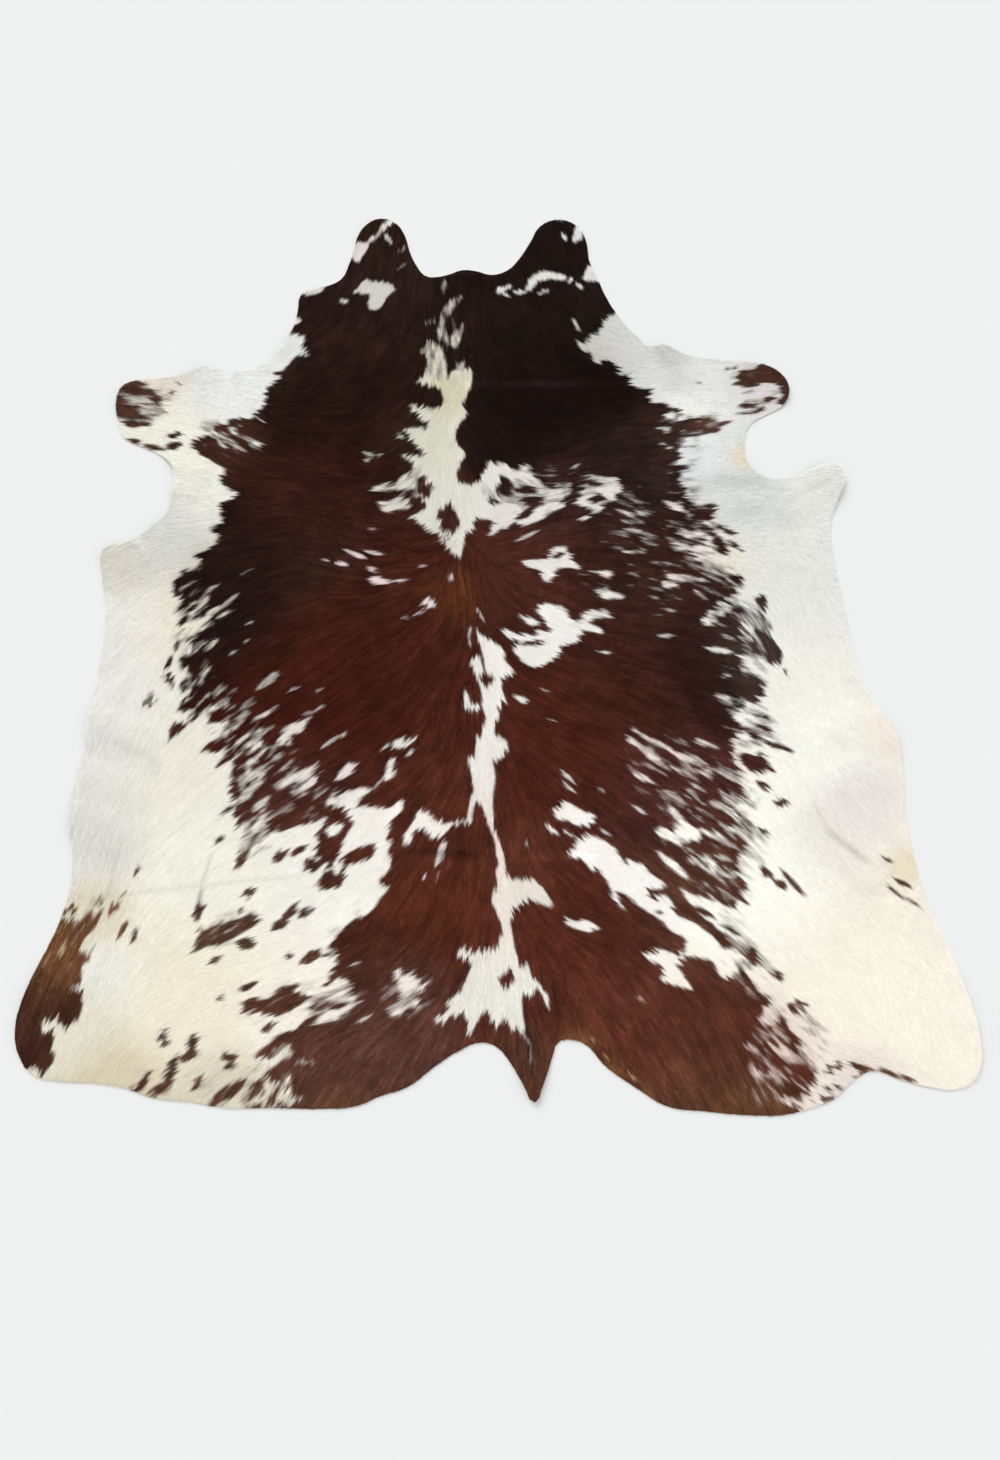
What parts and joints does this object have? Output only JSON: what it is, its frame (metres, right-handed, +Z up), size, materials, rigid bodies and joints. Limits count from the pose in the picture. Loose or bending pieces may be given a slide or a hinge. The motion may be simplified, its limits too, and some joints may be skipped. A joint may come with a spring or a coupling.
{
  "type": "cowhide rug",
  "caption": "Whole hair-on cowhide rug lying flat, brown and white, with its legs, tail and neck lobes in outline.",
  "frame": {"origin": "middle of the hide's box, on the floor", "axes": "+Z up from the floor through the hair side, +Y from the tail to the head, +X to the right when the head points away"},
  "size_m": [1.9897, 2.2704, 0.018],
  "materials": {
    "hide": "hair-on tanned cowhide, short smooth coat"
  },
  "bodies": {
    "root": {"hide": "hide"}
  },
  "joints": []
}
